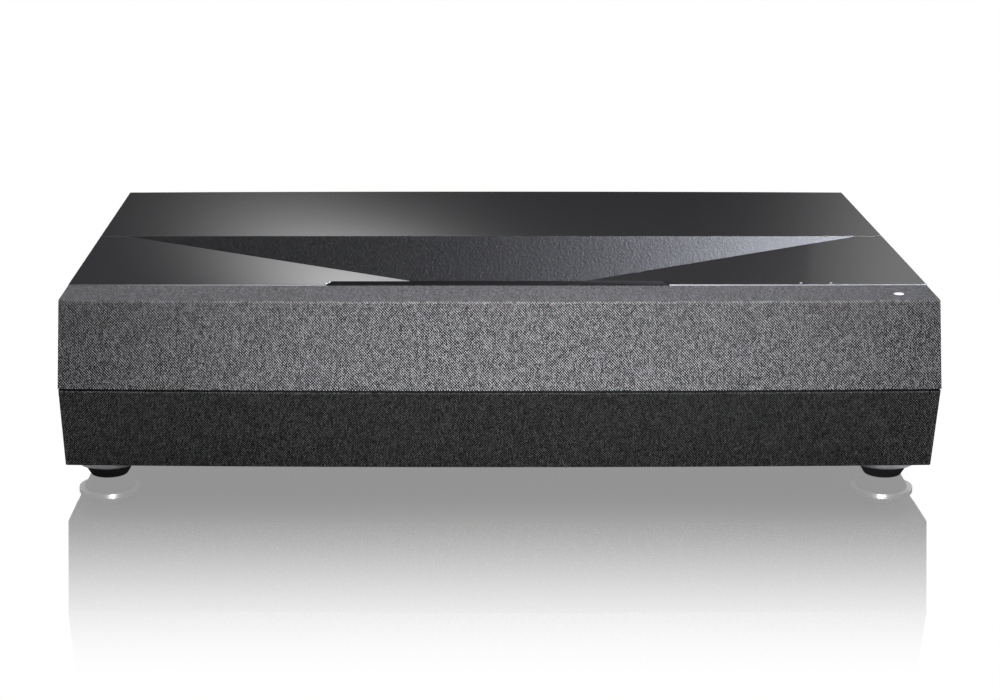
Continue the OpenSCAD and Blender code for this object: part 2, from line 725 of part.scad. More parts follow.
module main_board() color("#1f5a34") {
    chip_x = board_x + 73;
    chip_y = board_rear - board_d + 6;
    translate([board_x, board_rear - board_d, board_z]) cube([board_w, board_d, board_t]);
    // shield can, processor with its heat sink, and coils
    translate([board_x + 7, chip_y + 2, socket_z - eps]) cube([44, 34, 6]);
    translate([chip_x, chip_y, socket_z - eps]) cube([38, 38, 3]);
    for (i = [0:5]) translate([chip_x + i * 7, chip_y, socket_z + 3 - eps]) cube([3, 38, 12]);
    for (i = [0:2]) translate([chip_x + 50 + i * 14, chip_y + 6, socket_z - eps]) cylinder(h = 8, r = 4.5);
}

module power_supply() color("#9b9da1") {
    x0 = -half_w + 50;
    y0 = fan_y - 80;
    // folded metal tray
    difference() {
        translate([x0, y0, floor_z]) cube([150, 92, 38]);
        translate([x0 + 1.2, y0 + 1.2, floor_z + 1.2]) cube([147.6, 89.6, 40]);
    }
    // transformer, capacitors and choke
    translate([x0 + 70, y0 + 30, floor_z + 1.2 - eps]) cube([34, 34, 30]);
    for (y = [22, 46, 70]) translate([x0 + 30, y0 + y, floor_z + 1.2 - eps]) cylinder(h = 32, r = 9);
    translate([x0 + 128, y0 + 44, floor_z + 1.2 - eps]) cylinder(h = 20, r = 14);
}

// open-ended metal shell with a contact tongue of the given thickness
module socket_shell(x, size, tongue) {
    w = size[0];
    h = size[1];
    l = size[2];
    difference() {
        translate([x - w / 2, port_face - l, socket_z]) cube([w, l, h]);
        translate([x - w / 2 + 0.6, port_face - l + 2, socket_z + 0.6]) cube([w - 1.2, l, h - 1.2]);
    }
    if (tongue > 0)
        translate([x - w / 2 + 2.2, port_face - l + 1, socket_z + h / 2 - tongue / 2])
            cube([w - 4.4, l - 2, tongue]);
}

module sockets() color("#c3c5c9") {
    for (x = hdmi_x) socket_shell(x, hdmi_size, 1);
    for (x = usb_x) socket_shell(x, usb_size, 1.8);
    socket_shell(lan_x, lan_size, 0);
    for (x = jack_x) difference() {
        union() {
            along_y(port_face - wall - eps, port_face, 4, x, socket_z + 5);
            translate([x - 4.5, port_face - wall - 12.5, socket_z]) cube([9, 12.5, 10]);
        }
        along_y(port_face - 14, port_face + 1, 1.8, x, socket_z + 5);
    }
}

module ac_inlet() color("#101012") {
    difference() {
        translate([inlet_x - 13.5, port_face - 24, inlet_z - 10]) cube([27, 25, 20]);
        translate([inlet_x - 12, port_face - 16, inlet_z - 8.2]) cube([24, 20, 16.4]);
    }
    // flat blades
    for (x = [-7, 7]) translate([inlet_x + x - 1, port_face - 16 - eps, inlet_z - 3]) cube([2, 12, 4]);
    translate([inlet_x - 1, port_face - 16 - eps, inlet_z + 1.5]) cube([2, 13, 4]);
}

// ---- cooling ----

module fan_frame(s) translate([s * fan_x, fan_y, fan_z]) rotate([0, 90, 0]) difference() {
    union() {
        difference() {
            translate([-fan_size / 2, -fan_size / 2, -fan_d / 2]) cube([fan_size, fan_size, fan_d]);
            translate([0, 0, -fan_d]) cylinder(h = 2 * fan_d, r = fan_size / 2 - 3);
            for (a = [45:90:315]) rotate(a)
                translate([fan_size / 2 * 1.18, 0, -fan_d]) cylinder(h = 2 * fan_d, r = 2.1);
        }
        // motor plate on four arms, with the bearing pin
        translate([0, 0, -fan_d / 2]) cylinder(h = 3, r = 16);
        for (a = [20:90:290]) rotate(a) translate([10, -1.5, -fan_d / 2]) cube([fan_size / 2 - 12, 3, 2.5]);
        translate([0, 0, -fan_d / 2]) cylinder(h = fan_d - 4, r = fan_pin);
    }
}

module fan_frames() color("#1a1a1c") for (s = [-1, 1]) fan_frame(s);

module fan_rotor(s) translate([s * fan_x, fan_y, fan_z]) rotate([0, 90, 0]) difference() {
    union() {
        translate([0, 0, -fan_d / 2 + 4]) cylinder(h = fan_d - 5, r = 18);
        intersection() {
            for (i = [0:6]) rotate(i * 360 / 7) rotate([52, 0, 0])
                translate([16, -17, -0.8]) cube([fan_size / 2, 34, 1.6]);
            translate([0, 0, -fan_d / 2 + 4.5]) cylinder(h = fan_d - 6, r = fan_size / 2 - 4.5);
        }
    }
    translate([0, 0, -fan_d]) cylinder(h = 2 * fan_d, r = fan_pin + run_gap);
}

module fan_rotor_left() color("#202022") fan_rotor(-1);
module fan_rotor_right() color("#202022") fan_rotor(1);

// ---- sound ----

module speaker_boxes() color("#141416") for (s = [-1, 1]) difference() {
    translate([s * box_x - box_w / 2, box_y, box_low]) cube([box_w, box_depth, box_high - box_low]);
    translate([s * box_x - box_w / 2 + 3, box_y + 4, box_low + 3])
        cube([box_w - 6, box_depth - 7, box_high - box_low - 6]);
    along_y(box_y - 1, box_y + 5, woofer_dia / 2 - 4, s * woofer_x, driver_z);
    along_y(box_y - 1, box_y + 5, tweeter_dia / 2 - 2, s * tweeter_x, driver_z);
}

// lathe turned about a front-to-back axis; a profile of [radius, distance behind the baffle]
module driver(x, profile) translate([x, box_y, driver_z]) rotate([-90, 0, 0]) rotate_extrude() polygon(profile);

basket_r = woofer_dia / 2;
cone_r = basket_r - 9;
coil_r = 9;
coil_end = 32;

magnet_r = 22;
coil_room = coil_end + cone_travel + 3;

module woofer_baskets() color("#4a4c50") for (s = [-1, 1])
    driver(s * woofer_x, [[basket_r - 6.2, -3], [basket_r, -3], [basket_r, 0], [basket_r - 4.2, 0],
        [basket_r - 8.2, 22], [magnet_r, 26], [magnet_r, 44], [0, 44], [0, 22], [coil_r - 0.6, 22],
        [coil_r - 0.6, coil_room], [coil_r + 1.4, coil_room], [coil_r + 1.4, 24],
        [basket_r - 10.2, 20.5], [basket_r - 6.2, 0]]);

module woofer_cone(s) driver(s * woofer_x, [[0, 9], [coil_r, 13], [cone_r, 1], [cone_r + 1.2, -0.5],
    [cone_r + 1.2, 0.7], [coil_r + 0.8, 15], [coil_r + 0.8, coil_end], [coil_r, coil_end], [coil_r, 15], [0, 10.5]]);

module woofer_left_cone() color("#2a2c30") woofer_cone(-1);
module woofer_right_cone() color("#2a2c30") woofer_cone(1);

module tweeters() color("#55575c") for (s = [-1, 1])
    driver(s * tweeter_x, [[0, -3], [4, -2.4], [7, -0.6], [8, -2], [tweeter_dia / 2, -2], [tweeter_dia / 2, 0],
        [tweeter_dia / 2 - 2.1, 0], [tweeter_dia / 2 - 2.1, 12], [0, 12]]);

module case_screws() color("#3a3a3c") for (p = posts) translate([p[0], p[1], ground_gap]) difference() {
    union() {
        cylinder(h = 2, r = 3);
        cylinder(h = 14, r = screw_r);
    }
    translate([0, 0, -eps]) cylinder(h = 1.2, r = 1.2, $fn = 6);
}

base_pan();
left_side_panel();
right_side_panel();
rear_panel();
top_deck();
rear_top_plate();
left_wing_plate();
right_wing_plate();
light_well();
projection_window();
sensor_bar();
indicator_lights();
trim_strip();
upper_grille_frame();
upper_fabric();
lower_grille_frame();
lower_fabric();
seam_gasket();
power_button();
button_spring();
switch_board();
foot_fl_stud();
foot_fr_stud();
foot_rl_stud();
foot_rr_stud();
foot_fl_pad();
foot_fr_pad();
foot_rl_pad();
foot_rr_pad();
foot_inserts();
optical_bench();
laser_bank();
laser_heatsink();
phosphor_wheel();
colour_wheel();
wheel_motors();
relay_optics();
prism();
dmd_board();
dmd_heatsink();
lens_barrel();
barrel_lenses();
focus_ring();
focus_pinion();
focus_motor();
focus_lens_group();
concave_mirror();
main_board();
power_supply();
sockets();
ac_inlet();
fan_frames();
fan_rotor_left();
fan_rotor_right();
speaker_boxes();
woofer_baskets();
woofer_left_cone();
woofer_right_cone();
tweeters();
case_screws();
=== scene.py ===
import math

import bmesh
import bpy
from mathutils import Matrix, Vector


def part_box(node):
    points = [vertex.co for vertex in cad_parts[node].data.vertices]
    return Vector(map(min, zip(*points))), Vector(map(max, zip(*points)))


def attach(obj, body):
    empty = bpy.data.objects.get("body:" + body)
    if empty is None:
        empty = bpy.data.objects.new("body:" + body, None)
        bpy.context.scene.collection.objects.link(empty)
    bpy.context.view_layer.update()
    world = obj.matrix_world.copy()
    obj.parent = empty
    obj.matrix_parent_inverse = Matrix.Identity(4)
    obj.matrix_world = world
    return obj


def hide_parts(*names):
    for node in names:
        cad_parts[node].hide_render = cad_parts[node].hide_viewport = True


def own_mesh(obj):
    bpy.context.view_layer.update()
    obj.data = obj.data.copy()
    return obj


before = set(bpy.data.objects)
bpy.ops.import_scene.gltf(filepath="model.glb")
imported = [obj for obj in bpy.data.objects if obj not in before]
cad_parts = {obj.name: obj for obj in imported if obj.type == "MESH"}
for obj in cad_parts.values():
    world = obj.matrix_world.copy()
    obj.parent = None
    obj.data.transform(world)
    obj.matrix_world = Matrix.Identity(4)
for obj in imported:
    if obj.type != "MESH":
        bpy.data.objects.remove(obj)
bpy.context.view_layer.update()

# ---- Camera ----
# It stands in front of the projector and a little to its left, about half a metre up, and looks down
# on its top with a long lens.

scene = bpy.context.scene
camera = bpy.data.objects.new("camera", bpy.data.cameras.new("camera"))
scene.collection.objects.link(camera)
scene.camera = camera
camera.location = (-0.0447, -1.5501, 0.4646)
camera.rotation_euler = (math.radians(90 - 16.23), 0, 0)
camera.data.lens = 80.6
camera.data.shift_x = 0.071
camera.data.shift_y = 0.05
scene.view_settings.view_transform = "Standard"

# ---- Studio floor ----
# A white table top, polished where the projector stands, so that the projector is mirrored in it
# and the mirror image fades out a hand's breadth away from it.


def node(material, kind, inputs=(), **settings):
    """Adds a shader node to a material or world and wires or sets its inputs."""
    made = material.node_tree.nodes.new("ShaderNode" + kind)
    for name, value in settings.items():
        setattr(made, name, value)
    for socket, value in dict(inputs).items():
        if isinstance(value, bpy.types.NodeSocket):
            material.node_tree.links.new(value, made.inputs[socket])
        else:
            made.inputs[socket].default_value = value
    return made


def math_node(material, operation, first, second=0.0, third=0.0):
    """The output of one Math node."""
    return node(material, "Math", {0: first, 1: second, 2: third}, operation=operation).outputs[0]


def new_object(name, bm):
    """Turns a bmesh into an object at the origin."""
    mesh = bpy.data.meshes.new(name)
    bm.to_mesh(mesh)
    bm.free()
    made = bpy.data.objects.new(name, mesh)
    scene.collection.objects.link(made)
    return made


FLOOR_HALF = 12.0
MIRROR_SHARE = 0.71          # how much of the mirror image shows next to the projector
MIRROR_FADE = 0.31           # over this many metres it fades out
FOOTPRINT = (0.26, 0.17)     # half the rectangle that the fade starts from

bm = bmesh.new()
bmesh.ops.create_grid(bm, x_segments=2, y_segments=2, size=FLOOR_HALF)
table_top = new_object("table_top", bm)
table_finish = bpy.data.materials.new("table_finish")
table_finish.use_nodes = True
table_finish.node_tree.nodes.clear()
place = node(table_finish, "TexCoord").outputs["Object"]
across = node(table_finish, "SeparateXYZ", {0: place})
beyond = []
for axis, half in zip("XY", FOOTPRINT):
    outside = math_node(table_finish, "SUBTRACT",
                        math_node(table_finish, "ABSOLUTE", across.outputs[axis]), half)
    beyond.append(math_node(table_finish, "MAXIMUM", outside, 0.0))
distance = node(table_finish, "VectorMath",
                {0: node(table_finish, "CombineXYZ", {0: beyond[0], 1: beyond[1]}).outputs[0]},
                operation="LENGTH").outputs["Value"]
fade = node(table_finish, "MapRange",
            {"Value": distance, "From Min": 0.0, "From Max": MIRROR_FADE,
             "To Min": MIRROR_SHARE, "To Max": 0.0},
            interpolation_type="SMOOTHSTEP").outputs["Result"]
seen = node(table_finish, "Emission", {"Color": (1, 1, 1, 1), "Strength": 1.0}).outputs[0]
polish = node(table_finish, "BsdfGlossy", {"Color": (1, 1, 1, 1), "Roughness": 0.03}).outputs[0]
bounce = node(table_finish, "BsdfDiffuse", {"Color": (0.8, 0.8, 0.8, 1)}).outputs[0]
polished = node(table_finish, "MixShader", {0: fade, 1: seen, 2: polish}).outputs[0]
direct = node(table_finish, "LightPath").outputs["Is Camera Ray"]
both = node(table_finish, "MixShader", {0: direct, 1: bounce, 2: polished}).outputs[0]
node(table_finish, "OutputMaterial", {"Surface": both})
table_top.data.materials.append(table_finish)

# ---- Studio tent ----
# A white dome that only the polished floor mirrors, so that nothing but the projector darkens it.
# It adds its glow to what lies behind it and hides nothing.


def see_through_glow(name, strength):
    """A material that adds light without hiding what is behind it; strength is a number or an output."""
    material = bpy.data.materials.new(name)
    material.use_nodes = True
    material.node_tree.nodes.clear()
    glow = node(material, "Emission", {"Strength": strength}).outputs[0]
    clear = node(material, "BsdfTransparent").outputs[0]
    node(material, "OutputMaterial", {"Surface": node(material, "AddShader", {0: glow, 1: clear}).outputs[0]})
    return material


bm = bmesh.new()
bmesh.ops.create_uvsphere(bm, u_segments=48, v_segments=24, radius=FLOOR_HALF)
bmesh.ops.bisect_plane(bm, geom=bm.verts[:] + bm.edges[:] + bm.faces[:], plane_co=(0, 0, -0.01),
                       plane_no=(0, 0, -1), clear_outer=True)
bmesh.ops.reverse_faces(bm, faces=bm.faces)
tent = new_object("studio_tent", bm)
tent.data.materials.append(see_through_glow("tent_finish", 1.0))
tent.visible_camera = False
tent.visible_diffuse = False
tent.visible_shadow = False
tent.visible_transmission = False
lit_by_tent = bpy.data.collections.new("lit_by_tent")
lit_by_tent.objects.link(table_top)
tent.light_linking.receiver_collection = lit_by_tent

# ---- Studio light ----
# A softbox overhead, a snooted spot in front that is flagged off the lower cover, a small softbox high
# behind that skims the well, and two feathered panels that draw soft streaks in the polished top.

AIR_BLUE = 1.06              # how much bluer the air is than grey
AIR_LOW, AIR_HIGH = 0.18, 0.95      # heights on the sky where its first and last tones stand
AIR_BETWEEN = ((0.235, 0.1), (0.34, 0.014), (0.75, 0.03))
FEATHER = -4.5               # a panel's light falls to a hundredth at the edge of its bell
PANEL_Y = 2.5                # both panels stand this far behind the projector

world = bpy.data.worlds.new("studio_air")
scene.world = world
world.use_nodes = True
height = node(world, "SeparateXYZ", {0: node(world, "TexCoord").outputs["Generated"]}).outputs["Z"]
air = node(world, "ValToRGB", {"Fac": height})
for place, grey in AIR_BETWEEN:
    air.color_ramp.elements.new(place).color = (grey, grey, grey * AIR_BLUE, 1)
air.color_ramp.elements[0].position = AIR_LOW
air.color_ramp.elements[0].color = (0.04, 0.04, 0.042, 1)
air.color_ramp.elements[-1].position = AIR_HIGH
air.color_ramp.elements[-1].color = (0.5, 0.5, 0.5, 1)
world.node_tree.links.new(air.outputs["Color"], world.node_tree.nodes["Background"].inputs["Color"])
world.node_tree.nodes["Background"].inputs["Strength"].default_value = 1.0


def lamp(name, kind, place, target, power, **settings):
    """A light that looks at a point and isn't seen itself."""
    data = bpy.data.lights.new(name, kind)
    data.energy = power
    for setting, value in settings.items():
        setattr(data, setting, value)
    made = bpy.data.objects.new(name, data)
    made.location = place
    made.rotation_euler = (Vector(target) - Vector(place)).to_track_quat("-Z", "Y").to_euler()
    made.visible_camera = False
    scene.collection.objects.link(made)
    return made


lamp("overhead_softbox", "AREA", (0.1, 0.1, 2.2), (0.05, 0, 0), 24, shape="RECTANGLE", size=2.4, size_y=1.6)
snoot = lamp("front_snoot", "SPOT", (0.06, -1.15, 0.28), (0.03, -0.19, 0.1), 42, spot_size=math.radians(38),
             spot_blend=1.0, shadow_soft_size=0.12)
flagged_off = bpy.data.collections.new("flagged_off")
snoot.light_linking.receiver_collection = flagged_off
lamp("well_softbox", "AREA", (0.95, 2.45, 1.75), (0, 0, 0.1), 26, shape="DISK", size=0.45,
     color=(0.95, 0.97, 1.1))
lit_by_panels = bpy.data.collections.new("lit_by_panels")


def glow_panel(name, place, half_sizes, strength, slant=0.0):
    """An upright panel facing the front whose light is feathered towards its edges and leans by slant."""
    bm = bmesh.new()
    bmesh.ops.create_grid(bm, x_segments=2, y_segments=2, size=1.0)
    bmesh.ops.rotate(bm, verts=bm.verts, cent=(0, 0, 0), matrix=Matrix.Rotation(math.radians(90), 3, "X"))
    bmesh.ops.scale(bm, verts=bm.verts, vec=(half_sizes[0] + abs(slant) * half_sizes[1], 1, half_sizes[1]))
    bmesh.ops.translate(bm, verts=bm.verts, vec=place)
    panel = new_object(name, bm)
    finish = see_through_glow(name + "_finish", 1.0)
    spot = node(finish, "SeparateXYZ", {0: node(finish, "TexCoord").outputs["Object"]})
    rise = math_node(finish, "SUBTRACT", spot.outputs["Z"], place[2])
    aside = math_node(finish, "SUBTRACT", spot.outputs["X"],
                      math_node(finish, "MULTIPLY_ADD", rise, slant, place[0]))
    squares = [math_node(finish, "POWER", math_node(finish, "DIVIDE", way, half), 2.0)
               for way, half in ((aside, half_sizes[0]), (rise, half_sizes[1]))]
    bell = math_node(finish, "EXPONENT",
                     math_node(finish, "MULTIPLY", math_node(finish, "ADD", *squares), FEATHER))
    finish.node_tree.links.new(math_node(finish, "MULTIPLY", bell, strength),
                               finish.node_tree.nodes["Emission"].inputs["Strength"])
    panel.data.materials.append(finish)
    panel.visible_camera = False
    panel.visible_diffuse = False
    panel.visible_shadow = False
    panel.light_linking.receiver_collection = lit_by_panels


glow_panel("left_streak", (-0.096, PANEL_Y, 0.824), (0.42, 0.325), 2.16, slant=1.03)
glow_panel("right_streak", (0.868, PANEL_Y, 0.8), (0.42, 0.9), 0.46)

# ---- Moulded shell ----
# Base pan, side panels and rear panel: injection-moulded black ABS with a fine spark-eroded texture,
# clipped and screwed together from below.


def finish_of(name, colour, roughness, **sockets):
    """A Principled material whose constant values sit on the shader's own sockets."""
    material = bpy.data.materials.new(name)
    material.use_nodes = True
    shader = material.node_tree.nodes["Principled BSDF"]
    shader.inputs["Base Color"].default_value = (*colour, 1)
    shader.inputs["Roughness"].default_value = roughness
    for socket, value in sockets.items():
        shader.inputs[socket.replace("_", " ")].default_value = value
    return material


def wire(material, socket, output):
    """Feeds a socket of the material's Principled shader."""
    shader = material.node_tree.nodes["Principled BSDF"]
    material.node_tree.links.new(output, shader.inputs[socket])


def noise(material, scale, detail=2.0, roughness=0.5, stretch=(1, 1, 1)):
    """Noise on object coordinates; scale is in cycles per metre."""
    spread_out = node(material, "Mapping", {"Vector": node(material, "TexCoord").outputs["Object"],
                                            "Scale": stretch}).outputs[0]
    return node(material, "TexNoise", {"Vector": spread_out, "Scale": scale, "Detail": detail,
                                       "Roughness": roughness}).outputs["Fac"]


def blend_colours(material, factor, low, high, from_min=0.0, from_max=1.0):
    """A colour between low and high, as factor goes from from_min to from_max."""
    ramp = node(material, "ValToRGB", {"Fac": node(material, "MapRange", {
        "Value": factor, "From Min": from_min, "From Max": from_max}).outputs[0]})
    ramp.color_ramp.elements[0].position = 0.0
    ramp.color_ramp.elements[0].color = (*low, 1)
    ramp.color_ramp.elements[1].position = 1.0
    ramp.color_ramp.elements[1].color = (*high, 1)
    return ramp.outputs["Color"]


def vary_roughness(material, factor, low, high):
    """Roughness that goes from low to high with factor."""
    wire(material, "Roughness", node(material, "MapRange", {
        "Value": factor, "To Min": low, "To Max": high}).outputs[0])


def relief(material, height, depth, strength=1.0):
    """Bump of the given depth in metres."""
    wire(material, "Normal", node(material, "Bump", {"Height": height, "Distance": depth,
                                                     "Strength": strength}).outputs[0])


def moulded(name, colour, roughness=0.5, grain=2600, depth=0.00006):
    """Textured moulded plastic: spark-eroded grain, and a slow drift of tone."""
    material = finish_of(name, colour, roughness)
    drift = noise(material, 14, 3)
    wire(material, "Base Color", blend_colours(material, drift, [c * 0.85 for c in colour],
                                               [c * 1.15 for c in colour], 0.3, 0.7))
    fine = noise(material, grain, 2)
    vary_roughness(material, fine, roughness - 0.08, roughness + 0.1)
    relief(material, fine, depth)
    return material


def softened(name, cad_node, body, width, finish, segments=2, angle=30, chosen=None):
    """A copy of a CAD piece with its edges rounded, which stands for it."""
    bm = bmesh.new()
    bm.from_mesh(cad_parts[cad_node].data)
    bmesh.ops.remove_doubles(bm, verts=bm.verts, dist=1e-6)
    bmesh.ops.dissolve_limit(bm, angle_limit=math.radians(0.05), verts=bm.verts, edges=bm.edges)
    sharp = [e for e in bm.edges if e.is_manifold and e.calc_face_angle() > math.radians(angle)
             and (chosen is None or chosen(e))]
    bmesh.ops.bevel(bm, geom=sharp, offset=width, segments=segments, profile=0.5, affect="EDGES",
                    clamp_overlap=True, material=-1)
    piece = new_object(name, bm)
    piece.data.shade_smooth()
    piece.data.set_sharp_from_angle(angle=math.radians(50))
    piece.modifiers.new("even_shading", "WEIGHTED_NORMAL").keep_sharp = True
    piece.data.materials.append(finish)
    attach(piece, body)
    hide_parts(cad_node)
    return piece


shell_black = moulded("shell_black", (0.018, 0.018, 0.019), 0.48)
for shell in ("base_pan", "left_side_panel", "right_side_panel", "rear_panel"):
    softened("moulded_" + shell, shell, "housing", 0.0004, shell_black)

deck_black = moulded("deck_black", (0.012, 0.012, 0.013), 0.6)
softened("deck_under_plates", "top_deck", "housing", 0.0003, deck_black)

# ---- Fabric covers ----
# Plain-woven acoustic cloth, stretched over the plastic grille frames and glued behind their rims.
# The upper cloth has light and dark yarns and folds over onto the top, the lower one is charcoal.

HALF_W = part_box("upper_fabric")[1][0]
BOW = 0.0047                 # the front bows out by this much in the middle
EDGE_RADIUS = 0.0022
FOLD_Y = -0.1728             # where the upper cover folds over, in the middle of the bow
UPPER_DOWN = 0.712           # cloth used on the leaning face for each metre of height, past what its depth uses
LOWER_DOWN = 1.036           # cloth used on the cut-under face for each metre of height
WEAVE_DEPTH = 0.00022
WEAVE_CONTRAST = 1.5
YARN_DRIFT = 1.3             # how many yarns the threads wander to a side
YARN_TONES = (((1, 1, 0), 0.9), ((1, 0.3, 0), 0.6))   # lengths of yarn with a tone of their own
# Tone of the painted highlight, a light band along the folded top edges of the covers.
EDGE_HIGHLIGHT_TONE = (0.6, 0.6, 0.61)


def cloth(name, dark, light, warp, weft, twill, tones, edge_highlight_span):
    """Woven cloth on the piece's thread-counting UV map; twill leans the weave to one diagonal, tones are the
    weave heights that show dark and light yarn, and the last argument is where down the cloth a painted
    highlight
    starts and ends: a light band along the folded edge, where the edge catches the light."""
    material = finish_of(name, light, 0.85, Sheen_Weight=0.1, Sheen_Roughness=0.5)

    def vector(operation, *values):
        """The output of one Vector Math node."""
        return node(material, "VectorMath", dict(enumerate(values)), operation=operation).outputs[0]

    threads = node(material, "UVMap", uv_map="threads").outputs[0]
    count = vector("MULTIPLY", threads, (1 / warp, 1 / weft, 0))
    wobble = node(material, "TexNoise", {"Vector": count, "Scale": 0.12, "Detail": 2.0}).outputs["Color"]
    drawn = vector("SUBTRACT", wobble, (0.5, 0.5, 0.5))
    shifted = vector("MULTIPLY_ADD", drawn, (YARN_DRIFT, YARN_DRIFT, 0), count)
    parts = node(material, "SeparateXYZ", {0: shifted})
    waves = []
    for sign, share in (("ADD", 0.5 + twill), ("SUBTRACT", 0.5 - twill)):
        turn = math_node(material, "MULTIPLY",
                         math_node(material, sign, parts.outputs["X"], parts.outputs["Y"]), math.pi)
        waves.append(math_node(material, "MULTIPLY", math_node(material, "COSINE", turn), share))
    over = math_node(material, "ADD", *waves)

    tone = math_node(material, "MULTIPLY_ADD", over, WEAVE_CONTRAST, 0.5)
    for stretch, amount in YARN_TONES:
        length = vector("FLOOR", vector("MULTIPLY", shifted, stretch))
        shade = node(material, "TexWhiteNoise", {"Vector": length}, noise_dimensions="2D").outputs["Value"]
        tone = math_node(material, "ADD", tone, math_node(material, "MULTIPLY_ADD", shade, amount, -amount / 2))
    # A painted highlight: a light band along the folded edge, laid on the raised threads of the weave.
    down = node(material, "SeparateXYZ", {0: threads}).outputs["Y"]
    on_edge_highlight = math_node(material, "MULTIPLY", math_node(material, "GREATER_THAN", down, edge_highlight_span[0]),
                       math_node(material, "LESS_THAN", down, edge_highlight_span[1]))
    raised = node(material, "MapRange", {"Value": tone, "From Min": 0.1, "From Max": 1.9}).outputs[0]
    wire(material, "Base Color", node(material, "MixRGB", {
        "Fac": math_node(material, "MULTIPLY", on_edge_highlight, raised),
        "Color1": blend_colours(material, tone, dark, light, *tones),
        "Color2": (*EDGE_HIGHLIGHT_TONE, 1)}).outputs[0])
    relief(material, over, WEAVE_DEPTH, 0.8)
    return material


def count_threads(piece, along, down):
    """UV map of a cover in metres of cloth: across, and down from the back of the band. Each metre of depth
    counts along metres of cloth, and each metre of height down metres."""
    layer = piece.data.uv_layers.new(name="threads")
    for face in piece.data.polygons:
        on_side = abs(face.normal.x) > 0.75
        for loop in face.loop_indices:
            p = piece.data.vertices[piece.data.loops[loop].vertex_index].co
            unbowed = p.y - BOW * (p.x / HALF_W) ** 2
            layer.data[loop].uv = (p.y, p.z) if on_side else (p.x, along * unbowed + down * p.z)


def outer_edge(back, rims, hollow):
    """Picks the edges on the outside of a cover that don't lie at its back or on its rims; hollow is a point
    inside it."""
    def pick(edge):
        ends = [v.co for v in edge.verts]
        a, b = (face.normal for face in edge.link_faces)
        at_back = all(abs(p.y - back) < 1e-5 for p in ends)
        on_rim = any(all(abs(p.z - z) < 1e-5 for p in ends) for z in rims)
        middle = (ends[0] + ends[1]) / 2
        outside = max(a.x * middle.x, b.x * middle.x) > 0 or a.z > 0.9 or b.z > 0.9
        inward = a.dot(middle - hollow) < 0 and b.dot(middle - hollow) < 0
        return not at_back and not on_rim and outside and not inward
    return pick


upper_low, upper_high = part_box("upper_fabric")
lower_low, lower_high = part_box("lower_fabric")
fold = UPPER_DOWN * upper_high[2] + FOLD_Y
lower_rim = LOWER_DOWN * lower_high[2]
# The last pair in each call places the painted edge highlight on that cover.
upper_cloth = cloth("upper_cloth", (0.003, 0.003, 0.003), (0.48, 0.476, 0.50), 0.00083, 0.00088, 0.12,
                    (0.85, 1.15), (fold - 0.0012, fold + 0.0002))
lower_cloth = cloth("lower_cloth", (0.001, 0.001, 0.001), (0.37, 0.37, 0.376), 0.00080, 0.00088, -0.03,
                    (1.12, 1.42), (lower_rim - 0.0009, lower_rim + 0.001))

upper_cover = softened("upper_cloth_cover", "upper_fabric", "housing", EDGE_RADIUS, upper_cloth, segments=5,
                       chosen=outer_edge(upper_high[1], (upper_low[2],), Vector((0, -0.13, 0.09))))
lower_cover = softened("lower_cloth_cover", "lower_fabric", "housing", EDGE_RADIUS, lower_cloth, segments=5,
                       chosen=outer_edge(lower_high[1], (lower_low[2], lower_high[2]),
                                         Vector((0, -0.13, 0.05))))
flagged_off.objects.link(lower_cover)
flagged_off.collection_objects[0].light_linking.link_state = "EXCLUDE"
count_threads(upper_cover, 1, UPPER_DOWN)
count_threads(lower_cover, 0, LOWER_DOWN)

# ---- Seam gasket and grille frames ----
# A strip of black foam is pressed into the seam between the covers. The frames behind the cloth are
# moulded in black plastic, and the cloth is glued round their rims.


def finish_node(cad_node, finish):
    """Gives a CAD piece that keeps its own mesh its finish."""
    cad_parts[cad_node].data.materials.clear()
    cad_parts[cad_node].data.materials.append(finish)


foam_black = moulded("foam_black", (0.004, 0.004, 0.004), 0.9, grain=900, depth=0.0002)
frame_black = moulded("frame_black", (0.01, 0.01, 0.01), 0.6)
finish_node("seam_gasket", foam_black)
finish_node("upper_grille_frame", frame_black)
finish_node("lower_grille_frame", frame_black)

# ---- Top plates ----
# Three plates of black acrylic under a clear hard coat, with polished edges, bonded on the deck on
# either side of the light well and behind it.


def gloss_black(name):
    """Black acrylic under a polished face, with the faintest wave and a few hairline marks."""
    material = finish_of(name, (0.020, 0.020, 0.0215), 0.09, IOR=1.5)
    wave = noise(material, 6, 1)
    vary_roughness(material, wave, 0.075, 0.11)
    hairlines = noise(material, 900, 2, stretch=(0.05, 1, 1))
    wire(material, "Base Color", blend_colours(material, hairlines, (0.018, 0.018, 0.0195),
                                               (0.023, 0.023, 0.0245), 0.4, 0.7))
    return material


plate_black = gloss_black("plate_black")
for plate in ("rear_top_plate", "left_wing_plate", "right_wing_plate"):
    polished_plate = softened("polished_" + plate, plate, "housing", 0.0005, plate_black, segments=3)
    lit_by_panels.objects.link(polished_plate)

# ---- Sensor strip, trim and indicator lights ----
# The dark strip is a smoked acrylic cover over two presence sensors. A satin aluminium trim closes the
# joint between the top plates and the cloth. The lights are two pin-head light pipes.

strip_black = finish_of("strip_black", (0.002, 0.002, 0.002), 0.4, Specular_IOR_Level=0.12)
vary_roughness(strip_black, noise(strip_black, 30, 1), 0.36, 0.44)
softened("smoked_strip", "sensor_bar", "housing", 0.0004, strip_black)
satin_trim = finish_of("satin_trim", (0.42, 0.42, 0.44), 0.4, Metallic=1.0)
vary_roughness(satin_trim, noise(satin_trim, 500, 2, stretch=(0.03, 1, 1)), 0.32, 0.5)
finish_node("trim_strip", satin_trim)
light_pipe = finish_of("light_pipe", (0.75, 0.75, 0.78), 0.3, Emission_Color=(1, 1, 1, 1),
                       Emission_Strength=0.15)
vary_roughness(light_pipe, noise(light_pipe, 900, 1), 0.25, 0.4)
finish_node("indicator_lights", light_pipe)

# ---- Light well and projection window ----
# The well is moulded in a matt, speckled grey that swallows stray light. Its window is coated glass
# set flush near the low end.

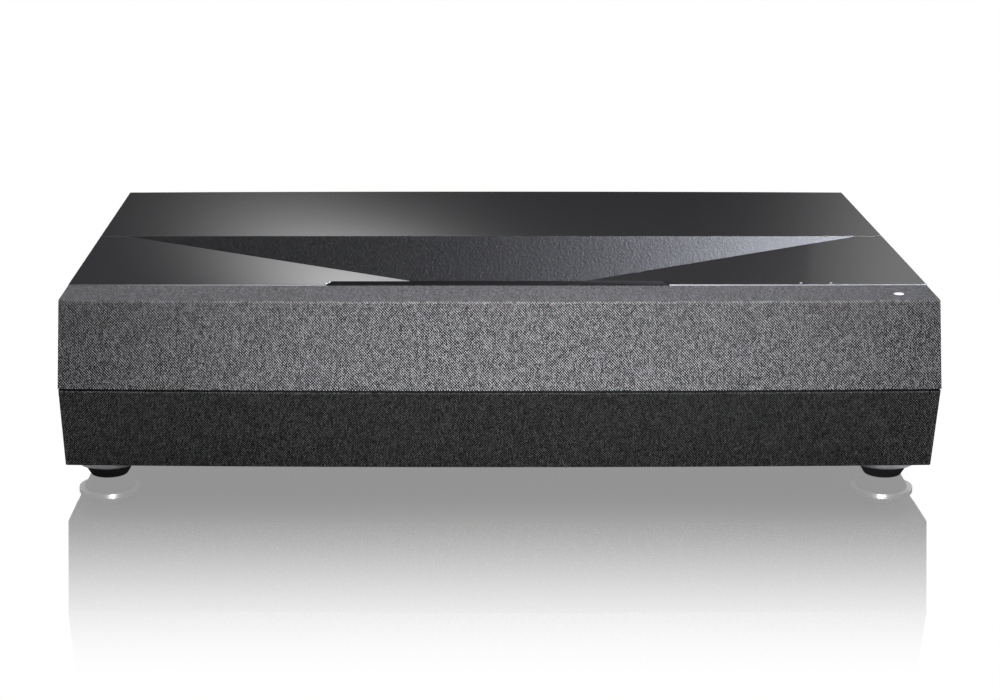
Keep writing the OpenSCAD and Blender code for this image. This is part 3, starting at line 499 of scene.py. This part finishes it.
well_grey = finish_of("well_grey", (0.018, 0.018, 0.02), 0.5, IOR=1.5)
speckle = noise(well_grey, 500, 3, 0.75, stretch=(1, 0.4, 1))
wire(well_grey, "Base Color", blend_colours(well_grey, speckle, (0.001, 0.001, 0.0012),
                                            (0.011, 0.011, 0.0125), 0.35, 0.65))
vary_roughness(well_grey, speckle, 0.28, 0.54)
relief(well_grey, speckle, 0.0003)
softened("speckled_well", "light_well", "housing", 0.0003, well_grey)
window_glass = finish_of("window_glass", (0.004, 0.004, 0.008), 0.04, IOR=1.52, Coat_Weight=0.5,
                         Coat_Roughness=0.02, Coat_Tint=(0.75, 0.8, 1.0, 1.0))
vary_roughness(window_glass, noise(window_glass, 40, 1), 0.03, 0.06)
softened("coated_window", "projection_window", "housing", 0.0003, window_glass)

# ---- Power button ----
# A flush white disc with a light in its rim, on a plunger over the switch, with a coil spring
# under it.

button_white = finish_of("button_white", (0.82, 0.83, 0.86), 0.35, Emission_Color=(1, 1, 1, 1),
                         Emission_Strength=0.35)
vary_roughness(button_white, noise(button_white, 700, 2), 0.3, 0.42)
softened("lit_button", "power_button", "button", 0.00025, button_white, segments=3)

spring_steel = finish_of("spring_steel", (0.55, 0.56, 0.58), 0.3, Metallic=1.0)
vary_roughness(spring_steel, noise(spring_steel, 1500, 2), 0.24, 0.42)
coil_spring = softened("coil_spring", "button_spring", "housing", 0.0001, spring_steel,
                       chosen=lambda edge: False)
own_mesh(coil_spring)

# ---- Feet ----
# Turned aluminium discs on threaded studs that screw out of the base pan to level the projector, with
# a black rubber pad bonded under each.

turned_metal = finish_of("turned_metal", (0.62, 0.62, 0.64), 0.3, Metallic=1.0)
lathe_marks = noise(turned_metal, 1800, 2, stretch=(0.05, 0.05, 1))
vary_roughness(turned_metal, lathe_marks, 0.22, 0.38)
relief(turned_metal, lathe_marks, 0.00002)
pad_rubber = moulded("pad_rubber", (0.008, 0.008, 0.008), 0.75, grain=1800, depth=0.00008)
for foot in ("foot_fl", "foot_fr", "foot_rl", "foot_rr"):
    softened(foot + "_disc", foot + "_stud", foot, 0.0006, turned_metal, segments=3)
    softened(foot + "_rubber", foot + "_pad", foot, 0.0008, pad_rubber, segments=3)

# ---- Inner pieces ----
# The light engine, lens, boards, fans and loudspeakers keep their plain machined or moulded shapes.
# They are screwed to the base pan, and only the fans and sockets show through the openings.


def machined(name, colour, roughness, metallic=1.0):
    """Bare metal with fine drawn lines."""
    material = finish_of(name, colour, roughness, Metallic=metallic)
    drawn = noise(material, 700, 2, stretch=(0.06, 1, 1))
    vary_roughness(material, drawn, roughness - 0.08, roughness + 0.1)
    relief(material, drawn, 0.00003)
    return material


def clear_glass(name, colour, roughness=0.03):
    """Optical glass with a coating tint that drifts slightly."""
    material = finish_of(name, colour, roughness, Transmission_Weight=0.9, IOR=1.52)
    wire(material, "Base Color", blend_colours(material, noise(material, 25, 1), colour,
                                               [min(1.0, c * 1.1) for c in colour], 0.3, 0.7))
    return material


cast_metal = machined("cast_metal", (0.45, 0.45, 0.47), 0.45)
fin_metal = machined("fin_metal", (0.65, 0.65, 0.67), 0.35)
copper_block = machined("copper_block", (0.62, 0.34, 0.2), 0.35)
brass = machined("brass", (0.72, 0.55, 0.28), 0.3)
plated_steel = machined("plated_steel", (0.55, 0.56, 0.58), 0.32)
black_steel = machined("black_steel", (0.08, 0.08, 0.085), 0.4)
lens_glass = clear_glass("lens_glass", (0.8, 0.9, 0.92))
wheel_glass = clear_glass("wheel_glass", (0.45, 0.65, 0.85))
phosphor_yellow = moulded("phosphor_yellow", (0.7, 0.6, 0.12), 0.5, grain=1200)
board_green = moulded("board_green", (0.02, 0.13, 0.06), 0.4, grain=700)
gear_cream = moulded("gear_cream", (0.62, 0.58, 0.48), 0.4)
fan_black = moulded("fan_black", (0.015, 0.015, 0.016), 0.42)
cone_grey = moulded("cone_grey", (0.03, 0.032, 0.035), 0.65, grain=900, depth=0.0001)
box_black = moulded("box_black", (0.012, 0.012, 0.013), 0.55)
mirror_face = finish_of("mirror_face", (0.9, 0.92, 0.93), 0.02, Metallic=1.0)
vary_roughness(mirror_face, noise(mirror_face, 20, 1), 0.01, 0.03)
inner_finishes = {
    cast_metal: ("optical_bench",),
    fin_metal: ("laser_heatsink", "dmd_heatsink"),
    copper_block: ("laser_bank",),
    brass: ("foot_inserts",),
    plated_steel: ("wheel_motors", "focus_motor", "power_supply", "sockets", "woofer_baskets"),
    black_steel: ("lens_barrel", "case_screws"),
    lens_glass: ("relay_optics", "prism", "barrel_lenses", "focus_lens_group"),
    wheel_glass: ("colour_wheel",),
    phosphor_yellow: ("phosphor_wheel",),
    board_green: ("switch_board", "dmd_board", "main_board"),
    gear_cream: ("focus_ring", "focus_pinion"),
    fan_black: ("fan_frames", "fan_rotor_left", "fan_rotor_right", "ac_inlet"),
    cone_grey: ("woofer_left_cone", "woofer_right_cone", "tweeters"),
    box_black: ("speaker_boxes",),
    mirror_face: ("concave_mirror",),
}
for finish, cad_nodes in inner_finishes.items():
    for cad_node in cad_nodes:
        finish_node(cad_node, finish)
